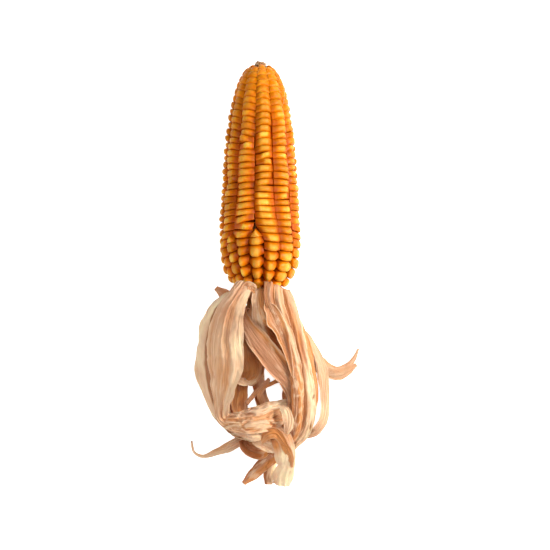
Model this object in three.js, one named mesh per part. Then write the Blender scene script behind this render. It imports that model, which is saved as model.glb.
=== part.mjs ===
// A dried ear of maize lying on its side, with its husk leaves peeled back from the grain and tied in
// a loose knot. Millimetres, +Z up. The ear points along +Y and the husk trails along -Y.
// The ear is a core with rows of kernels around it, standing on a short shank (the stub of the stalk).
// Every husk leaf grows from the shank, folds back over the ear's base and ends in or below the knot.
import * as THREE from "three";

// Driving dimensions of the ear. "Station" is the distance along the ear's axis from its base.
const EAR_RADIUS = 24.6; // at the widest place, over the kernel crowns
const WIDEST = 28; // station of the widest place
const BASE_END = -5; // station where the kernels end, round the shank
const TIP_END = 130; // station where the kernels end, round the core's dry tip
const BASE_ROUND = 34.5; // length of the rounding from the widest place to the base
const TIP_ROUND = 103; // length of the rounding from the widest place to the tip
const TAPER = 0.2; // share of the radius lost steadily towards the tip
const EAR_TILT = THREE.MathUtils.degToRad(3.9); // the tapered ear lies with its tip lower

// Kernels.
const KERNEL_PITCH = 4; // length of one kernel along its row, over most of the ear
const BASE_PITCH_EXTRA = 2.7; // how much longer the kernels next to the base are
const BASE_PITCH_REACH = 40; // station where that extra length has died away
const CREASE = 1.3; // depth of the crease between two kernels of a row
const ROW_GAP = 0.35; // clear space between two rows, at the crowns
const SHOULDER = 2.4; // how far a kernel's side starts below its crown

// The core is the kernels' outline drawn in towards the middle of the ear.
const CORE_CENTRE = 55;
const CORE_LENGTH_SHARE = 0.88;
const CORE_RADIUS_SHARE = 0.58;
const CORE_GAP = 0.35;
const CORE_TIP = { radius: 2.5, end: 131.6 };

// Shank.
const SHANK_RADIUS = 8;
const SHANK_END = -20;

// Husk leaves.
const LEAF_THICKNESS = 0.8;
const LEAF_STEPS_PER_POINT = 2;
const LEAF_STRIPS = 3;

// Seams between neighbouring long rows, as degrees round the ear from the top of the lying ear,
// clockwise seen from the tip: where a seam lies on the upper part and where it lies at the base. A seam
// with an opening splits at the base by that many degrees, and a short row grows in it up to a station.
const SEAMS = [
  { upper: -71.5, base: -81 },
  { upper: -41, base: -50, opening: 20, shortRowEnd: 28 },
  { upper: -9.5, base: -6, opening: 25, shortRowEnd: 31 },
  { upper: 22.5, base: 33 },
  { upper: 55.5, base: 60.5 },
  { upper: 86.5, base: 87.5 },
  { upper: 115.5, base: 115.5 },
  { upper: 144.5, base: 144.5 },
  { upper: 173.5, base: 173.5 },
  { upper: 202.5, base: 202.5 },
  { upper: 231.5, base: 231.5 },
  { upper: 260, base: 258 },
];
const SEAM_SPREAD = { from: 52, to: 20 }; // stations between which a seam moves to its base angle
const OPENING = { above: 4, length: 11 }; // an opening starts this far above its short row's end
const LONG_ROW_END = [TIP_END, TIP_END - 1.5]; // rows end by turns at these stations
const SHORT_ROW_PITCH = 1.12; // kernels of a short row are longer by this share

const smooth = (t) => {
  const c = Math.min(1, Math.max(0, t));
  return c * c * (3 - 2 * c);
};

// Radius over the kernel crowns at a station: a rounded base, then a taper that ends in a blunt nose.
function earRadius(station) {
  if (station < WIDEST) {
    const t = (WIDEST - station) / BASE_ROUND;
    return EAR_RADIUS * (1 - t ** 2.5) ** 0.45;
  }
  const t = (station - WIDEST) / TIP_ROUND;
  return EAR_RADIUS * (1 - TAPER * t) * (1 - t ** 4) ** 0.42;
}

// The outline as a list of { station, radius, run }, where run is the length along the outline so far.
const OUTLINE = [];
for (let i = 0, steps = 400; i <= steps; i++) {
  const station = BASE_END + ((TIP_END - BASE_END) * i) / steps;
  const radius = earRadius(station);
  const last = OUTLINE[i - 1];
  const run = last ? last.run + Math.hypot(station - last.station, radius - last.radius) : 0;
  OUTLINE.push({ station, radius, run });
}
const OUTLINE_LENGTH = OUTLINE.at(-1).run;

function outlineAt(run) {
  const next = Math.max(1, OUTLINE.findIndex((p) => p.run >= run));
  const [a, b] = [OUTLINE[next - 1], OUTLINE[next]];
  const t = (run - a.run) / (b.run - a.run);
  return {
    station: a.station + t * (b.station - a.station),
    radius: a.radius + t * (b.radius - a.radius),
  };
}

const coreStation = (station) => CORE_CENTRE + (station - CORE_CENTRE) * CORE_LENGTH_SHARE;

// Angle of a seam's edge at a station: side -1 is the lower edge of a seam that opens, side 1 the higher.
function seamAngle(index, side, station) {
  const seam = SEAMS[index % SEAMS.length];
  const spread = smooth((SEAM_SPREAD.from - station) / (SEAM_SPREAD.from - SEAM_SPREAD.to));
  const turn = index === SEAMS.length ? 360 : 0;
  const middle = turn + seam.upper + (seam.base - seam.upper) * spread;
  if (!seam.opening) return middle;
  const open = smooth((seam.shortRowEnd + OPENING.above - station) / OPENING.length);
  return middle + (side * open * seam.opening) / 2;
}

// A closed geometry lofted through rings with the same number of points, with flat ends.
function loft(rings) {
  const sides = rings[0].length;
  const positions = rings.flat().flatMap((p) => [p.x, p.y, p.z]);
  const index = [];
  for (let i = 0; i + 1 < rings.length; i++)
    for (let j = 0; j < sides; j++) {
      const a = i * sides + j;
      const b = i * sides + ((j + 1) % sides);
      index.push(a, b, b + sides, a, b + sides, a + sides);
    }
  const last = (rings.length - 1) * sides;
  for (let j = 1; j + 1 < sides; j++) {
    index.push(0, j + 1, j);
    index.push(last, last + j, last + j + 1);
  }
  const geometry = new THREE.BufferGeometry();
  geometry.setAttribute("position", new THREE.Float32BufferAttribute(positions, 3));
  geometry.setIndex(index);
  geometry.computeVertexNormals();
  return geometry;
}

// A point of the ear: degrees round it, radius and station. The ear's axis is +Y.
function earPoint(degrees, radius, station) {
  const a = THREE.MathUtils.degToRad(degrees);
  return new THREE.Vector3(radius * Math.sin(a), station, radius * Math.cos(a));
}

// Where one kernel ends and the next begins along a row, as lengths along the outline.
function kernelJoints(toRun, stagger, stretch) {
  const joints = [0];
  for (let run = 0; run < toRun; ) {
    const reach = smooth(1 - outlineAt(run).station / BASE_PITCH_REACH);
    const pitch = (KERNEL_PITCH + BASE_PITCH_EXTRA * reach) * stretch;
    run += joints.length === 1 && stagger ? pitch * 1.5 : pitch;
    joints.push(Math.min(run, toRun));
  }
  const stub = joints.at(-1) - joints.at(-2) < KERNEL_PITCH / 2;
  if (stub) joints.splice(-2, 1);
  return joints;
}

// One row of kernels: a five-sided section that swells at each kernel and sinks at each crease.
function kernelRow(edges, toRun, stagger, stretch) {
  const joints = kernelJoints(toRun, stagger, stretch);
  const runs = joints.flatMap((run, i) => (i ? [(joints[i - 1] + run) / 2, run] : [run]));
  const rings = runs.map((run, i) => {
    const { station, radius } = outlineAt(run);
    const crease = i % 2 ? 0 : CREASE;
    const [low, high] = edges(station);
    const middle = (low + high) / 2;
    const gap = THREE.MathUtils.radToDeg((ROW_GAP + crease * 0.25) / radius);
    const coreRadius = radius * CORE_RADIUS_SHARE;
    const footGap = THREE.MathUtils.radToDeg(ROW_GAP / coreRadius);
    const inner = coreStation(station);
    const shoulder = Math.min(SHOULDER, radius * 0.14) + crease * 0.6;
    const share = shoulder / (radius - coreRadius);
    const shoulderStation = station + (inner - station) * share;
    return [
      earPoint(low + footGap, coreRadius, inner),
      earPoint(low + gap, radius - shoulder, shoulderStation),
      earPoint(middle, radius - crease, station),
      earPoint(high - gap, radius - shoulder, shoulderStation),
      earPoint(high - footGap, coreRadius, inner),
    ];
  });
  return loft(rings);
}

// The core: a turned solid inside the rows, with the bare dry tip that stands out of the kernels.
function coreGeometry() {
  const profile = [new THREE.Vector2(0, coreStation(BASE_END) + CORE_GAP)];
  const steps = 16;
  for (let i = 0; i <= steps; i++) {
    const { station, radius } = outlineAt((OUTLINE_LENGTH * i) / steps);
    const inner = Math.max(CORE_TIP.radius, radius * CORE_RADIUS_SHARE - CORE_GAP * 2);
    profile.push(new THREE.Vector2(inner, coreStation(station) + (i ? 0 : CORE_GAP)));
  }
  profile.push(new THREE.Vector2(CORE_TIP.radius, CORE_TIP.end - 1));
  profile.push(new THREE.Vector2(CORE_TIP.radius * 0.6, CORE_TIP.end));
  profile.push(new THREE.Vector2(0, CORE_TIP.end));
  return new THREE.LatheGeometry(profile, 14);
}

// The shank: a slightly waisted stub, cut off flat, that enters the ear's base.
function shankGeometry() {
  const top = coreStation(BASE_END) - CORE_GAP;
  const neck = SHANK_RADIUS * CORE_RADIUS_SHARE;
  const profile = [
    new THREE.Vector2(0, SHANK_END),
    new THREE.Vector2(SHANK_RADIUS * 0.86, SHANK_END),
    new THREE.Vector2(SHANK_RADIUS, BASE_END - 12),
    new THREE.Vector2(SHANK_RADIUS, BASE_END - 1),
    new THREE.Vector2(neck, top),
    new THREE.Vector2(0, top),
  ];
  return new THREE.LatheGeometry(profile, 16);
}

// A husk leaf is a thin strip carried along a smooth route. Each route point is
// [x, y, height, width, roll]: roll in degrees lifts the strip's left-hand edge as one walks along the
// route. cup arches the strip across its width, as a share of that width. Before point `fold` the
// strip keeps the across direction that it has there, because its route runs steeply up from the shank.
function leafGeometry({ route, fold = 1, cup = 0.12 }) {
  const curve = new THREE.CatmullRomCurve3(
    route.map(([x, y, z]) => new THREE.Vector3(x, y, z)),
    false,
    "centripetal",
  );
  const up = new THREE.Vector3(0, 0, 1);
  const last = route.length - 1;
  const steps = last * LEAF_STEPS_PER_POINT;
  const acrossAt = (t) => new THREE.Vector3().crossVectors(up, curve.getTangent(t)).normalize();
  const valueAt = (t, column) => {
    const i = Math.min(last - 1, Math.floor(t * last));
    const share = smooth(t * last - i);
    return route[i][column] + (route[i + 1][column] - route[i][column]) * share;
  };
  const rings = [];
  for (let i = 0; i <= steps; i++) {
    const t = i / steps;
    const centre = curve.getPoint(t);
    const along = curve.getTangent(t);
    const across = acrossAt(Math.max(t, fold / last));
    across.addScaledVector(along, -across.dot(along)).normalize();
    across.applyAxisAngle(along, THREE.MathUtils.degToRad(valueAt(t, 4)));
    const out = new THREE.Vector3().crossVectors(across, along).normalize().negate();
    const width = valueAt(t, 3);
    const edgePoint = (j, side) => {
      const v = (2 * j) / LEAF_STRIPS - 1;
      return centre
        .clone()
        .addScaledVector(across, (v * width) / 2)
        .addScaledVector(out, cup * width * (1 - v * v) + (side * LEAF_THICKNESS) / 2);
    };
    const ring = [];
    for (let j = 0; j <= LEAF_STRIPS; j++) ring.push(edgePoint(j, -1));
    for (let j = LEAF_STRIPS; j >= 0; j--) ring.push(edgePoint(j, 1));
    rings.push(ring);
  }
  return loft(rings);
}

// The husk leaves, named by where they lie round the bundle.
const LEAVES = {
  husk_front_left: {
    fold: 3,
    route: [
      [-5.6, -7.5, 35.2, 4.5, 0],
      [-7.6, -5.5, 41, 8, 0],
      [-9, 1.5, 47.2, 10, 5],
      [-12, -3, 48.5, 13, 12],
      [-17, -14, 44.5, 18, 26],
      [-19.5, -29, 40, 21.5, 30],
      [-19.5, -44, 35, 22.5, 30],
      [-20.5, -57, 29, 17, 30],
      [-22, -68, 23, 10, 25],
      [-22, -77, 19, 6, 0],
      [-14, -78.5, 21.5, 11, -10],
      [-4, -77.5, 24.5, 15, -5],
      [6, -74.5, 23.5, 15, 10],
      [14, -70.5, 18.5, 12, 30],
      [18, -70.5, 11, 8, 45],
    ],
  },
  husk_outer_left: {
    fold: 2,
    route: [
      [-9.3, -8, 29.5, 4.5, 60],
      [-16, -4.5, 33, 9, 60],
      [-25, -13, 30.5, 15, 55],
      [-29.5, -28, 25.5, 19, 55],
      [-31, -43, 21.5, 19, 56],
      [-29.5, -57, 17, 16, 55],
      [-26.5, -69, 12.5, 10, 40],
      [-20, -78.5, 11, 6, 10],
      [-12, -83.5, 13, 8, 0],
      [-4, -85, 14.5, 9, 0],
      [3, -85.5, 13.5, 7, 0],
    ],
  },
  husk_inner_left: {
    fold: 1,
    route: [
      [-3, -9.6, 37, 4, 0],
      [-3.4, -15, 37.4, 7, 0],
      [-5, -22, 36.6, 11, 0],
      [-6, -30, 33, 14, 0],
      [-5.5, -40, 27.5, 15, -10],
      [-5, -49, 23, 12, -20],
      [-8, -56, 20, 8, -10],
    ],
  },
  husk_inner_strip: {
    fold: 1,
    route: [
      [-8, -15, 33, 4, 15],
      [-12, -23, 30, 10, 15],
      [-13.5, -32, 24, 13, 20],
      [-13.5, -45, 18, 13, 22],
      [-12.5, -58, 14.5, 11, 18],
      [-12, -69, 11.5, 8, 10],
      [-9, -77, 9.5, 5, 0],
    ],
  },
  husk_diagonal: {
    fold: 2,
    route: [
      [-7, -12.5, 33.5, 4, -40],
      [-10.5, -13.5, 37.5, 5, -20],
      [-8, -20, 42.5, 8.5, 10],
      [0, -31.5, 43.5, 11.5, 5],
      [9, -43, 40, 12, 0],
      [16.5, -54.5, 33, 9.5, -5],
      [19.5, -67, 25.2, 6, -10],
      [18.5, -78, 18.8, 5, 0],
      [15.5, -84.5, 15, 4, 0],
    ],
  },
  husk_front_centre: {
    fold: 3,
    route: [
      [1.2, -7.5, 36.2, 4.5, 0],
      [1, -5.8, 41, 6, 0],
      [0.6, -2.4, 46.2, 8, 0],
      [0.6, -9, 45.6, 9.5, 4],
      [3, -21, 41, 12, 0],
      [9, -34, 35.2, 13, -8],
      [15.5, -47, 28.5, 12, -14],
      [20, -59, 21.4, 9, -18],
      [21.5, -70, 16, 6.5, -18],
      [19.5, -81, 11.3, 5, -10],
      [14.5, -88, 9.5, 4, 0],
    ],
  },
  husk_front_right: {
    fold: 3,
    route: [
      [6, -8, 34.6, 4.5, -35],
      [7.2, -5.6, 40, 6.5, -25],
      [7.4, 0.8, 46.2, 10, -14],
      [8.4, -8, 49.2, 11, -6],
      [12.4, -20, 47.6, 9, -10],
      [16.6, -33, 43, 7.2, -16],
      [19.8, -46, 38, 7.2, -22],
      [21.2, -59, 31.5, 7.2, -26],
      [21.4, -71, 24.5, 7, -26],
      [20, -83, 17.5, 6.5, -20],
      [16, -91, 12.5, 6, -10],
      [11, -97.5, 8.6, 6, 0],
      [3, -103, 5, 7, 0],
      [-4, -109.5, 2.6, 6, 0],
      [-10, -115.5, 0.9, 2.5, 0],
    ],
  },
  husk_shoulder_right: {
    fold: 3,
    route: [
      [9.3, -9.3, 30.8, 4.5, -60],
      [12.4, -5.8, 35.4, 7, -55],
      [14.2, -2.2, 40, 8.5, -45],
      [16.6, -10, 41, 10, -38],
      [20, -22, 38.4, 10, -38],
      [23, -35, 34, 9.2, -40],
      [25.6, -49, 28, 8.6, -42],
      [27.2, -62, 21.5, 8.6, -40],
      [27.6, -73, 15.4, 8.6, -36],
      [24.8, -84, 10, 7.5, -25],
      [18.5, -93, 6, 5.5, 0],
      [11, -98, 4, 5, 0],
      [6.5, -103.5, 2.6, 5, 0],
      [5, -110, 1.6, 5.5, 0],
      [4.6, -116, 0.9, 4, 0],
    ],
  },
  husk_band_end: {
    fold: 1,
    route: [
      [12, -69.4, 27.6, 3, 0],
      [14.6, -71, 28.6, 5.5, 0],
      [16, -75.5, 28.6, 6, 0],
      [16.2, -80.5, 27.2, 5, 0],
      [15, -85, 26, 2.6, 0],
    ],
  },
  husk_side_right: {
    fold: 2,
    route: [
      [9.2, -13, 27.5, 4.5, -90],
      [15.5, -12.5, 28, 8, -75],
      [22, -22, 23.5, 10.5, -65],
      [26, -36, 20.4, 10.5, -62],
      [29.4, -50, 15, 9, -56],
      [30.6, -62, 10.6, 7, -50],
      [30, -71, 8, 5.5, -45],
      [28.5, -80, 5.5, 5, -20],
      [24.5, -88, 3.6, 4, 0],
    ],
  },
  husk_loop_right: {
    fold: 2,
    route: [
      [8.4, -17, 24, 4, -110],
      [17, -20, 18.5, 6, -70],
      [28, -31, 12.8, 7, -50],
      [34.6, -44, 7.4, 7.2, -42],
      [36.9, -57, 6, 7.2, -42],
      [37.7, -68, 5, 7, -42],
      [36.5, -77, 3.8, 6.5, -35],
      [32.5, -84.5, 2.2, 5.5, -20],
      [27, -87, 1, 4, 0],
    ],
  },
  husk_wisp_right: {
    fold: 1,
    route: [
      [6.8, -17, 21.2, 4, -60],
      [16.5, -25, 12.5, 7, -35],
      [26, -35.5, 7, 8.5, -15],
      [33.5, -44.5, 2.8, 8.5, 0],
      [41, -49.3, 1.3, 7, 10],
      [48, -48.3, 1.6, 4.5, 20],
      [54, -43.3, 2.6, 3, 30],
      [57.5, -36, 4.6, 1.2, 30],
    ],
  },
  husk_stub_left: {
    fold: 1,
    route: [
      [-7.9, -13, 24.5, 4, 50],
      [-14, -10, 23, 7, 40],
      [-20, -5, 22, 7, 35],
      [-26, -0.5, 21, 3, 30],
    ],
  },
  husk_rear_left: {
    fold: 1,
    route: [
      [-5.6, -12, 20.4, 4.5, 40],
      [-14, -17, 12, 11, 25],
      [-22, -29, 4.6, 16, 10],
      [-25, -44, 0.8, 18, 0],
      [-24, -60, 0.7, 14, 0],
      [-19, -74, 2.6, 8, 0],
      [-13, -83, 4.6, 6, 0],
      [-12.5, -89.5, 5, 5, 0],
      [-18, -93.5, 4.4, 5.5, 0],
      [-26, -97, 2.4, 3.5, 0],
      [-34, -99.5, 0.9, 1.8, 0],
      [-39, -97, 0.7, 1.2, 0],
      [-40.6, -90.5, 0.9, 1, 0],
    ],
  },
  husk_rear_centre: {
    fold: 1,
    route: [
      [0, -15, 18.8, 4.5, 0],
      [-1, -25, 12, 9, 0],
      [-3, -38, 8.6, 11, 10],
      [-2, -50, 8, 8, 25],
      [-0.5, -60, 7.5, 7, 10],
      [2, -70, 7.2, 7, 0],
      [6, -79, 9.5, 8, 0],
      [9.5, -84.5, 17, 9, 0],
      [12.5, -89.5, 22, 11, 0],
      [14.5, -97, 20, 11, 0],
      [14.8, -104.5, 12, 9, 0],
      [13, -111, 5.4, 10.5, 0],
      [12, -116, 1.4, 9, 0],
    ],
  },
  husk_rear_right: {
    fold: 1,
    route: [
      [5.8, -12, 20.2, 4.5, -40],
      [11.5, -18, 12, 9, -25],
      [19, -30, 4.4, 13, -10],
      [21.5, -46, 0.9, 14, 0],
      [20, -62, 0.7, 12, 0],
      [16.5, -76, 1.6, 8, 0],
      [11, -86, 3.2, 7, 0],
      [5.5, -91.5, 6.6, 8, 0],
      [-1, -95.5, 9.2, 9, 0],
      [-7, -93, 10.5, 8, 0],
      [-10, -88.5, 9, 6, 0],
    ],
  },
};

const materials = {
  kernel: new THREE.MeshStandardMaterial({ color: 0xe08a1e, roughness: 0.35, metalness: 0 }),
  core: new THREE.MeshStandardMaterial({ color: 0xc9a27a, roughness: 0.9, metalness: 0 }),
  husk: new THREE.MeshStandardMaterial({ color: 0xd9b083, roughness: 0.75, metalness: 0 }),
  shank: new THREE.MeshStandardMaterial({ color: 0xc7a06e, roughness: 0.85, metalness: 0 }),
};

function addMesh(parent, name, geometry, material) {
  const mesh = new THREE.Mesh(geometry, material);
  mesh.name = name;
  parent.add(mesh);
}

// The ear in its own frame: twelve long rows, two short ones, the core and the shank.
function buildEar() {
  const ear = new THREE.Group();
  const runAtStation = (station) => OUTLINE.find((p) => p.station >= station).run;
  let number = 1;
  const addRow = (edges, toStation, stagger, stretch) => {
    const name = `kernel_row_${String(number).padStart(2, "0")}`;
    const geometry = kernelRow(edges, runAtStation(toStation), stagger, stretch);
    addMesh(ear, name, geometry, materials.kernel);
    number += 1;
  };
  SEAMS.forEach((_, i) => {
    const edges = (station) => [seamAngle(i, 1, station), seamAngle(i + 1, -1, station)];
    addRow(edges, LONG_ROW_END[i % 2], i % 4 > 1, 1);
  });
  SEAMS.forEach((seam, i) => {
    if (!seam.opening) return;
    const edges = (station) => [seamAngle(i, -1, station), seamAngle(i, 1, station)];
    addRow(edges, seam.shortRowEnd, i % 2 === 0, SHORT_ROW_PITCH);
  });
  addMesh(ear, "cob_core", coreGeometry(), materials.core);
  addMesh(ear, "shank", shankGeometry(), materials.shank);
  return ear;
}

// How high the ear's axis passes over its base station, so that the tilted ear just touches the table.
const axisHeight = Math.max(
  ...OUTLINE.map((p) => p.radius * Math.cos(EAR_TILT) + p.station * Math.sin(EAR_TILT)),
);

const model = new THREE.Group();
const ear = buildEar();
ear.rotation.x = -EAR_TILT;
ear.position.z = axisHeight;
model.add(ear);
for (const [name, leaf] of Object.entries(LEAVES))
  addMesh(model, name, leafGeometry(leaf), materials.husk);

// The origin is the middle of the underside of the whole object's box.
model.updateMatrixWorld(true);
const box = new THREE.Box3().setFromObject(model, true);
const middle = box.getCenter(new THREE.Vector3());
model.position.set(-middle.x, -middle.y, -box.min.z);

export default model;
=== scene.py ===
"""A dried ear of maize, lying on a pale floor with its husk leaves peeled back and loosely knotted.

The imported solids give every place. Each row of kernels, the core, the shank and each husk leaf is
worked out again here from the same formulas and routes, with the detail that the solids leave out.
Lengths in the formulas are millimetres; place() turns them into metres in the frame.
"""

import math

import bpy
import numpy as np
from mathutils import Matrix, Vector


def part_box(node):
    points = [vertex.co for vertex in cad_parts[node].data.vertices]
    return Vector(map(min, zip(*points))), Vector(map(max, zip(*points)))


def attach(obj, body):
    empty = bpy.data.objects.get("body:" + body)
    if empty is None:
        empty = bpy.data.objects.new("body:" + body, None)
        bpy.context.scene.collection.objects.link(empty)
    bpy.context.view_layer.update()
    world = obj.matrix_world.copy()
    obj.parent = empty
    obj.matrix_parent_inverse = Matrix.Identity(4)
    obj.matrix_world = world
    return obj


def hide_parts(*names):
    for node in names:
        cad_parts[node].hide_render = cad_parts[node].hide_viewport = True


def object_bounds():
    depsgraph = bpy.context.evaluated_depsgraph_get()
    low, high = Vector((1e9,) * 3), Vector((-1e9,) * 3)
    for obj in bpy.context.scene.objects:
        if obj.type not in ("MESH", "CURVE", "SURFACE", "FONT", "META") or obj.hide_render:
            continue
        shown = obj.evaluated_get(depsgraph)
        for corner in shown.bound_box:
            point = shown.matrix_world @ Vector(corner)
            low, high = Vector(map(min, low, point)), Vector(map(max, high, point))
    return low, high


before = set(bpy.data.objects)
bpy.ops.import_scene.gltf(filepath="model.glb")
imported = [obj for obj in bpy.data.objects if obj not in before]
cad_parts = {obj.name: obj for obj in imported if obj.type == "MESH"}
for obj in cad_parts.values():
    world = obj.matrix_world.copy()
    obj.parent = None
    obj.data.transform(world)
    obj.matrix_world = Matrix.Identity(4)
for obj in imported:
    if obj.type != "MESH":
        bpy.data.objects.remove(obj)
CAD_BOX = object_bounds()
BODY = "root"
MM = 0.001

# The ear, as the solids have it. A station is the distance along the ear's axis from its base.
EAR_RADIUS = 24.6
WIDEST = 28
BASE_END = -5
TIP_END = 130
BASE_ROUND = 34.5
TIP_ROUND = 103
TAPER = 0.2
EAR_TILT = math.radians(3.9)
CORE_CENTRE = 55
CORE_LENGTH_SHARE = 0.88
CORE_RADIUS_SHARE = 0.58
CORE_GAP = 0.35
CORE_TIP_RADIUS = 2.5
CORE_TIP_END = 131.6
KERNEL_PITCH = 4
BASE_PITCH_EXTRA = 2.7
BASE_PITCH_REACH = 40
SHANK_RADIUS = 8
SHANK_END = -20

# Seams between the long rows: degrees round the ear on its upper part and at its base, the degrees
# by which a seam opens at the base, and the station where the short row in that opening ends.
SEAMS = [
    (-71.5, -81, 0, 0),
    (-41, -50, 20, 28),
    (-9.5, -6, 25, 31),
    (22.5, 33, 0, 0),
    (55.5, 60.5, 0, 0),
    (86.5, 87.5, 0, 0),
    (115.5, 115.5, 0, 0),
    (144.5, 144.5, 0, 0),
    (173.5, 173.5, 0, 0),
    (202.5, 202.5, 0, 0),
    (231.5, 231.5, 0, 0),
    (260, 258, 0, 0),
]
SEAM_SPREAD = (52, 20)
OPENING_ABOVE = 4
OPENING_LENGTH = 11
LONG_ROW_END = [TIP_END, TIP_END - 1.5]
SHORT_ROW_PITCH = 1.12


# ---------------------------------------------------------------- numbers

def smooth(t):
    """Smoothstep: 3 t^2 - 2 t^3 with t held between 0 and 1."""
    t = np.clip(t, 0, 1)
    return t * t * (3 - 2 * t)


def signed_power(x, power):
    """|x| to a power, with the sign of x kept."""
    return np.sign(x) * np.abs(x) ** power


def noise(x, y, seed):
    """Random numbers from -1 to 1 on the whole numbers of x and y, blended between them by smoothstep."""
    period = 64
    table = np.random.default_rng(seed).uniform(-1, 1, (period, period))
    x, y = np.broadcast_arrays(np.asarray(x, float), np.asarray(y, float))
    x0, y0 = np.floor(x).astype(int), np.floor(y).astype(int)
    across, up = smooth(x - x0), smooth(y - y0)
    left, right = x0 % period, (x0 + 1) % period
    low, high = y0 % period, (y0 + 1) % period
    below = table[left, low] * (1 - across) + table[right, low] * across
    above = table[left, high] * (1 - across) + table[right, high] * across
    return below * (1 - up) + above * up


def rough_noise(x, y, seed, layers=3):
    """Layers of noise(), each twice as fine and half as strong as the one before."""
    return sum(noise(x * 2**k, y * 2**k, seed + k) * 0.5**k for k in range(layers))


def ridged(x, y, seed):
    """Sharp ridges and broad troughs, from -1 to 1: one minus twice the size of noise()."""
    return 1 - 2 * np.abs(noise(x, y, seed))


def unit(vectors):
    """Vectors of length 1."""
    return vectors / np.maximum(np.linalg.norm(vectors, axis=-1, keepdims=True), 1e-12)


# ---------------------------------------------------------------- meshes

def grid_faces(rows, columns, wrap=False):
    """Four-sided faces of a grid of points; wrap joins the last column to the first."""
    i, j = np.meshgrid(np.arange(rows - 1), np.arange(columns if wrap else columns - 1), indexing="ij")
    k = (j + 1) % columns
    here, after = i * columns, (i + 1) * columns
    return np.stack([here + j, here + k, after + k, after + j], -1).reshape(-1, 4)


def repeated_faces(faces, size, count):
    """The faces of one body, for many bodies of the same size whose points follow each other."""
    return [[corner + k * size for corner in face] for k in range(count) for face in faces]


def new_piece(name, points, faces, material, nodes=(), slot=None, attributes=None, uv=None, subdivide=0):
    """A mesh object from points in the frame, smooth shaded, with float attributes on its points.

    It stands for the solids in nodes, and rides on the body if it is given a slot.
    """
    mesh = bpy.data.meshes.new(name)
    mesh.from_pydata(np.asarray(points).reshape(-1, 3).tolist(), [], [list(map(int, f)) for f in faces])
    for key, values in (attributes or {}).items():
        given = mesh.attributes.new(key, "FLOAT", "POINT")
        given.data.foreach_set("value", np.ravel(values).astype(np.float32))
    if uv is not None:
        corners = np.zeros(len(mesh.loops), np.int32)
        mesh.loops.foreach_get("vertex_index", corners)
        layer = mesh.uv_layers.new(name="UVMap")
        layer.data.foreach_set("uv", np.reshape(uv, (-1, 2))[corners].astype(np.float32).ravel())
    mesh.polygons.foreach_set("use_smooth", np.ones(len(mesh.polygons), bool))
    mesh.materials.append(material)
    mesh.validate()
    piece = bpy.data.objects.new(name, mesh)
    bpy.context.scene.collection.objects.link(piece)
    if subdivide:
        surface = piece.modifiers.new("surface", "SUBSURF")
        surface.levels = subdivide
        surface.render_levels = subdivide
    if nodes:
        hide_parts(*nodes)
    if slot:
        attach(piece, BODY)
    return piece


# ---------------------------------------------------------------- the ear's outline

def ear_radius(station):
    """Radius over the kernel crowns: a rounded base to the widest place, then a taper to a blunt nose."""
    base = np.clip((WIDEST - station) / BASE_ROUND, 0, 1)
    nose = np.clip((station - WIDEST) / TIP_ROUND, 0, 1)
    return EAR_RADIUS * np.where(
        station < WIDEST,
        (1 - base**2.5) ** 0.45,
        (1 - TAPER * nose) * (1 - nose**4) ** 0.42,
    )


OUTLINE_STATION = np.linspace(BASE_END, TIP_END, 401)
OUTLINE_RADIUS = ear_radius(OUTLINE_STATION)
OUTLINE_STEPS = np.hypot(np.diff(OUTLINE_STATION), np.diff(OUTLINE_RADIUS))
OUTLINE_RUN = np.concatenate([[0], np.cumsum(OUTLINE_STEPS)])
AXIS_HEIGHT = np.max(OUTLINE_RADIUS * math.cos(EAR_TILT) + OUTLINE_STATION * math.sin(EAR_TILT))


def outline_at(run):
    """Station and radius at a length along the outline."""
    return np.interp(run, OUTLINE_RUN, OUTLINE_STATION), np.interp(run, OUTLINE_RUN, OUTLINE_RADIUS)


def core_station(station):
    """Where the core's outline, drawn in towards the middle of the ear, has the point of that station."""
    return CORE_CENTRE + (station - CORE_CENTRE) * CORE_LENGTH_SHARE


def seam_angle(index, side, station):
    """Degrees round the ear of a seam's edge; side is -1 or 1, the two edges of a seam that opens."""
    upper, base, opening, row_end = SEAMS[index % len(SEAMS)]
    spread = smooth((SEAM_SPREAD[0] - station) / (SEAM_SPREAD[0] - SEAM_SPREAD[1]))
    turn = 360 if index == len(SEAMS) else 0
    opened = smooth((row_end + OPENING_ABOVE - station) / OPENING_LENGTH) * opening
    return turn + upper + (base - upper) * spread + side * opened / 2


def ear_points(degrees, radius, station):
    """Points of the standing ear turned into the lying one: round the axis, then tipped about the base."""
    angle = np.radians(degrees)
    x, y, z = np.broadcast_arrays(radius * np.sin(angle), station, radius * np.cos(angle))
    return np.stack(
        [
            x,
            y * math.cos(EAR_TILT) + z * math.sin(EAR_TILT),
            z * math.cos(EAR_TILT) - y * math.sin(EAR_TILT) + AXIS_HEIGHT,
        ],
        -1,
    )


def core_profile(steps):
    """Station and radius along the core, from the middle of its base to the middle of its tip."""
    station, radius = outline_at(np.linspace(0, OUTLINE_RUN[-1], steps + 1))
    inner = np.maximum(CORE_TIP_RADIUS, radius * CORE_RADIUS_SHARE - CORE_GAP * 2)
    along = core_station(station)
    along[0] += CORE_GAP
    tip = CORE_TIP_END
    return (
        np.concatenate([[along[0]], along, [tip - 1, tip, tip]]),
        np.concatenate([[0], inner, [CORE_TIP_RADIUS, CORE_TIP_RADIUS * 0.6, 0]]),
    )


def frame_shift():
    """Metres from the formulas' own origin to the frame's: the CAD core's box against the same core's."""
    station, radius = core_profile(16)
    turn = np.arange(14) * 360 / 14
    core = ear_points(turn, radius[:, None], station[:, None]).reshape(-1, 3) * MM
    low, high = (np.array(corner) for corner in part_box("cob_core"))
    return (low + high) / 2 - (core.min(0) + core.max(0)) / 2


SHIFT = frame_shift()


def place(points):
    """Millimetres of the formulas to metres of the frame."""
    return np.asarray(points) * MM + SHIFT
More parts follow.
